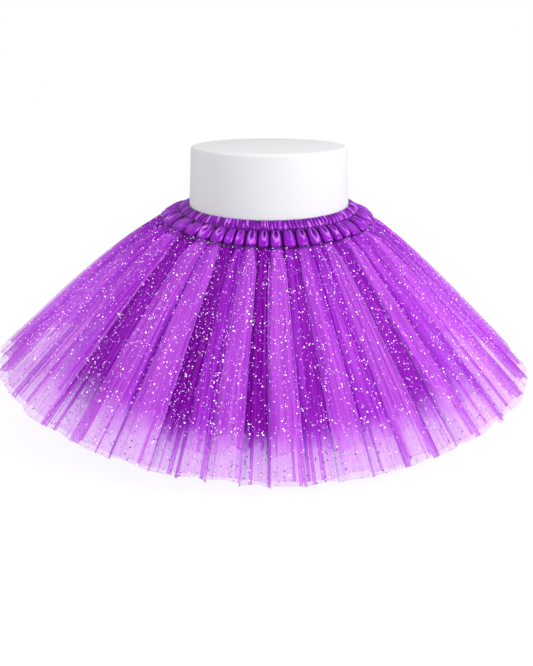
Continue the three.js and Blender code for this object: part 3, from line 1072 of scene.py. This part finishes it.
def puffs(rng, satin):
    u = np.linspace(-1, 1, PUFF_COLUMNS)
    u = np.sign(u) * np.abs(u) ** 0.8
    v = np.linspace(0, 1, PUFF_ROWS)
    low = STITCH_DOWN + 0.1
    length = BAND_LENGTH - low
    fill = np.interp(v, PUFF_FILL["at"], PUFF_FILL["share"])[:, None]
    columns, heights, tones, downs = [], [], [], []
    for k in range(GATHER_COUNT):
        uu, vv = np.meshgrid(u, v)
        lobe, shade = puff_lobe(rng, uu, vv)
        heights.append(lobe)
        tones.append(shade)
        longer = rng.uniform(-1.4, 0.6)
        downs.append(low + (length + longer - 0.9 * np.abs(uu) ** 3) * vv)
        reach = np.where(uu < 0, GATHERS.at[k] - GATHERS.start[k],
                         GATHERS.end[k] - GATHERS.at[k])
        lean = rng.normal(0, 0.05)
        columns.append(GATHERS.at[k] + reach * (uu * fill + lean * (1 - uu ** 2) * vv))
    degrees = np.concatenate(columns, axis=1)
    height = np.concatenate(heights, axis=1)
    tone = np.concatenate(tones, axis=1)
    out = PUFF_FLOOR + height
    down = np.concatenate(downs, axis=1)
    edge = degrees[-1:]
    tail_down = np.array([row["down"] for row in PUFF_TAIL])[:, None] + 0 * edge
    tail_out = np.array([row["out"] for row in PUFF_TAIL])[:, None] + 0 * edge
    degrees = np.concatenate([degrees, np.repeat(edge, len(PUFF_TAIL), axis=0)])
    down = np.concatenate([down, tail_down])
    out = np.concatenate([out, tail_out])
    tone = np.concatenate([tone, 0 * tail_out + TAIL_TONE])
    points = on_skirt(np.radians(degrees + 270), down, out)
    points = np.concatenate([points, points[:1]])
    tone = np.concatenate([tone, tone[:1]])
    down_run = np.concatenate([down, 2 * BAND_LENGTH - down[-1:]])
    turn = np.concatenate([degrees, degrees[:1]])
    uv = np.stack([np.radians(turn) * PUFF_RADIUS, down_run], axis=-1)
    piece = sheet_mesh("satin_puffs", points, uv)
    paint(piece, tone)
    flip_outward(piece)
    piece.data.materials.append(satin)
    dress(piece, "satin_purple", "waistband_puffs")
    middle = PUFF_ROWS // 2
    return piece, lengths_along(points[middle], down[middle])[-1], 2 * length


# Glitter dots, each a tiny tilted six-sided disc lying on its net, with radii in millimetres and
# the share of dots up to each size
SMALL_DOT = (0.28, 0.46)
MEDIUM_DOT = (0.46, 0.62)
LARGE_DOT = 0.78
SMALL_SHARE = 0.62
MEDIUM_SHARE = 0.94
DOT_SIDES = 6
DOT_LIFT = 0.25
DOT_TILT = 0.22
# Away from the hem half the dots are glowing silver and half glowing lilac; towards the sheer hem
# most are dark, painted shade
BRIGHT_SHARE = 0.5
SHADED_SHARE = 0.85
SHADED_FROM = SKIRT_LENGTH - 52
SHADED_TO = SKIRT_LENGTH - 34


def glitter(name, layer, count, seed, finishes):
    rng = np.random.default_rng(seed)
    points = layer.points
    rows, columns = points.shape[:2]
    middle = points[:-1]
    following = np.roll(middle, -1, axis=1)
    across = following - middle
    along = points[1:] - middle
    normal = np.cross(along, across)
    area = np.linalg.norm(normal, axis=-1)
    normal = normal / np.maximum(area, 1e-9)[..., None]
    chance = area * rng.uniform(0.2, 1.8, columns)
    chance = chance.ravel() / chance.sum()
    cells = rng.choice(area.size, count, p=chance)
    i, j = np.unravel_index(cells, area.shape)
    s, t = rng.random((2, count, 1))
    place = middle[i, j] + across[i, j] * s + along[i, j] * t
    facing = normal[i, j] + rng.normal(0, DOT_TILT, (count, 3))
    facing /= np.linalg.norm(facing, axis=1)[:, None]
    kind = rng.random(count)
    small = rng.uniform(*SMALL_DOT, count)
    medium = rng.uniform(*MEDIUM_DOT, count)
    radius = np.where(kind < SMALL_SHARE, small, np.where(kind < MEDIUM_SHARE, medium, LARGE_DOT))
    place = place + normal[i, j] * DOT_LIFT
    side = np.cross(facing, [0.13, 0.27, 0.95])
    side /= np.linalg.norm(side, axis=1)[:, None]
    other = np.cross(facing, side)
    turns = np.arange(DOT_SIDES) * 2 * math.pi / DOT_SIDES
    rim = (place[:, None] + radius[:, None, None] *
           (side[:, None] * np.cos(turns)[None, :, None]
            + other[:, None] * np.sin(turns)[None, :, None]))
    mesh = bpy.data.meshes.new(name)
    faces = np.arange(count * DOT_SIDES).reshape(count, DOT_SIDES)
    mesh.from_pydata((rim.reshape(-1, 3) * MM).tolist(), [], faces.tolist())
    down = layer.downs[i]
    sheer = smooth_step(SHADED_FROM, SHADED_TO, down)
    pick = np.where(rng.random(count) < BRIGHT_SHARE, 0, 1)
    finish = np.where(rng.random(count) < sheer * SHADED_SHARE, 2, pick)
    for made in finishes:
        mesh.materials.append(made)
    mesh.polygons.foreach_set("material_index", finish.astype(np.int32))
    mesh.update()
    piece = bpy.data.objects.new(name, mesh)
    bpy.context.collection.objects.link(piece)
    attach(piece, "root")
    return piece


# Stitches along the groove between casing and puffs

STITCH_COUNT = 190
STITCH_SIDES = 6
STITCH_FILL = 0.34

# A stitch from end to end: place along it, distance out and radius
STITCH_RINGS = [
    {"place": -1, "out": -1.3, "radius": 0.12},
    {"place": -0.5, "out": -0.75, "radius": 0.3},
    {"place": 0.5, "out": -0.75, "radius": 0.3},
    {"place": 1, "out": -1.3, "radius": 0.12},
]


def stitch_ring(azimuth, ring):
    """The points of one ring of a stitch, in millimetres."""
    out = ring["out"]
    centre = on_skirt(azimuth, STITCH_DOWN, out)
    outward = on_skirt(azimuth, STITCH_DOWN, out + 1) - centre
    downward = on_skirt(azimuth, STITCH_DOWN + 1, out) - centre
    turns = np.arange(STITCH_SIDES) * 2 * math.pi / STITCH_SIDES
    return [centre + ring["radius"] * (outward * math.cos(turn) + downward * math.sin(turn))
            for turn in turns]


def stitches(thread):
    vertices, faces = [], []
    for k in range(STITCH_COUNT):
        middle = 2 * math.pi * (k + 0.5) / STITCH_COUNT
        half = STITCH_FILL * 2 * math.pi / STITCH_COUNT
        start = len(vertices)
        for ring in STITCH_RINGS:
            points = stitch_ring(middle + half * ring["place"], ring)
            vertices.extend(tuple(point * MM) for point in points)
        for ring in range(len(STITCH_RINGS) - 1):
            for side in range(STITCH_SIDES):
                a = start + ring * STITCH_SIDES + side
                b = start + ring * STITCH_SIDES + (side + 1) % STITCH_SIDES
                faces.append((a, b, b + STITCH_SIDES, a + STITCH_SIDES))
        last = start + (len(STITCH_RINGS) - 1) * STITCH_SIDES
        faces.append(tuple(start + side for side in reversed(range(STITCH_SIDES))))
        faces.append(tuple(last + side for side in range(STITCH_SIDES)))
    mesh = bpy.data.meshes.new("waist_stitches")
    mesh.from_pydata(vertices, [], faces)
    mesh.polygons.foreach_set("use_smooth", np.ones(len(faces), dtype=bool))
    piece = bpy.data.objects.new("waist_stitches", mesh)
    bpy.context.collection.objects.link(piece)
    flip_outward(piece)
    mesh.materials.append(thread)
    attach(piece, "root")
    return piece


# Studio

def studio():
    scene = bpy.context.scene
    scene.view_settings.view_transform = "Standard"
    scene.cycles.transparent_max_bounces = 40
    scene.cycles.max_bounces = 8
    camera = bpy.data.objects.new("camera", bpy.data.cameras.new("camera"))
    camera.location = CAMERA_PLACE
    camera.rotation_euler = (math.radians(90 - CAMERA_PITCH_DEGREES), 0, 0)
    camera.data.sensor_fit = "VERTICAL"
    camera.data.sensor_height = SENSOR_MM
    camera.data.lens = FOCAL_PX * SENSOR_MM / PHOTO_HEIGHT_PX
    bpy.context.collection.objects.link(camera)
    scene.camera = camera

    world = bpy.data.worlds.new("studio_world")
    world.use_nodes = True
    backdrop = world.node_tree.nodes["Background"]
    backdrop.inputs["Color"].default_value = (1, 1, 1, 1)
    seen = node(world.node_tree, "ShaderNodeLightPath").outputs["Is Camera Ray"]
    glow = ranged(world.node_tree, seen, WORLD_GLOW_HIDDEN, WORLD_GLOW_SEEN)
    world.node_tree.links.new(glow, backdrop.inputs["Strength"])
    scene.world = world

    for row in LAMPS:
        lamp = bpy.data.lights.new(row["name"], "AREA")
        lamp.shape = "DISK"
        lamp.size = row["size"]
        lamp.energy = row["power"]
        holder = bpy.data.objects.new(row["name"], lamp)
        holder.location = row["place"]
        aim = Vector(LAMP_TARGET) - Vector(row["place"])
        holder.rotation_euler = aim.to_track_quat("-Z", "Y").to_euler()
        bpy.context.collection.objects.link(holder)


def floor():
    """A seamless white floor that curves up into a wall behind."""
    profile = [(FLOOR_FRONT, 0.0), (CURVE_START, 0.0)]
    for step in range(1, CURVE_STEPS + 1):
        turn = math.radians(90 * step / CURVE_STEPS)
        profile.append((CURVE_START + CURVE_RADIUS * math.sin(turn),
                        CURVE_RADIUS * (1 - math.cos(turn))))
    profile.append((CURVE_START + CURVE_RADIUS, WALL_TOP))
    edges = (-FLOOR_HALF_WIDTH, FLOOR_HALF_WIDTH)
    points = np.array([[(x, y, z) for x in edges] for y, z in profile]) / MM
    uv = points[..., :2]
    piece = sheet_mesh("studio_floor", points, uv, closed=False)
    piece.data.materials.append(floor_material())


studio()
floor()
display_block()
SATIN = satin_material()
GLITTER_NET = net_material("glitter_net", GLITTER_NET_COVER)
PLAIN_NET = net_material("plain_net", PLAIN_NET_COVER)
LINING = lining_material()
# Silver and lilac dots carry a painted glow; the dark dots are painted shade
GLOWING_SILVER_GLITTER = glitter_material("glitter_silver", (1.0, 0.92, 1.0), 1.0)
GLOWING_LILAC_GLITTER = glitter_material("glitter_lilac", (0.85, 0.48, 0.98), 0.5)
PAINTED_SHADE_GLITTER = glitter_material("glitter_painted_shade", (0.13, 0.02, 0.27), 0.0)
DOT_FINISHES = (GLOWING_SILVER_GLITTER, GLOWING_LILAC_GLITTER, PAINTED_SHADE_GLITTER)
THREAD = thread_material()

rng = np.random.default_rng(5)
casing_piece, casing_width, casing_depth = casing(rng, SATIN)
puff_piece, puff_width, puff_depth = puffs(rng, SATIN)
stitch_piece = stitches(THREAD)
top = Layer("top", GLITTER_NET)
second = Layer("second", GLITTER_NET)
under = Layer("under", PLAIN_NET)
lining = Layer("lining", LINING)
top_glitter = glitter("glitter_top", top, 18000, 101, DOT_FINISHES)
second_glitter = glitter("glitter_second", second, 9000, 103, DOT_FINISHES)
